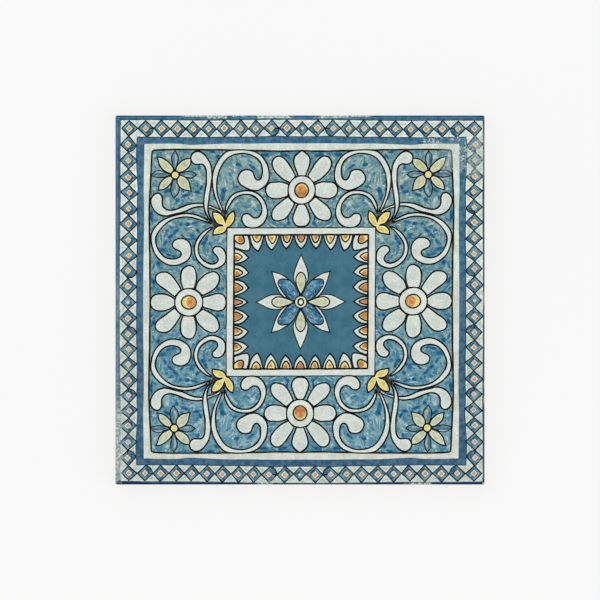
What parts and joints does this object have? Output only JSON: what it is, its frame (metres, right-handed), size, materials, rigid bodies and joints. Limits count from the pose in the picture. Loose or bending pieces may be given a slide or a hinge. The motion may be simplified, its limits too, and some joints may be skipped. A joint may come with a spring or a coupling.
{
  "type": "encaustic-look tile",
  "caption": "Square glazed floor tile, one flat fired slab with a blue and white scroll, daisy and lozenge-border print, softly rounded rim and a keyed back for bedding mortar.",
  "frame": {"origin": "centre of the back, on the plane of the ribs that bed in the mortar", "axes": "+Z out of the decorated face, +X to the right and +Y to the top of the print as it is seen in the picture"},
  "size_m": [0.2, 0.2, 0.0085],
  "materials": {
    "printed_glaze": "satin"
  },
  "bodies": {
    "root": {"tile": "printed_glaze"}
  },
  "joints": []
}
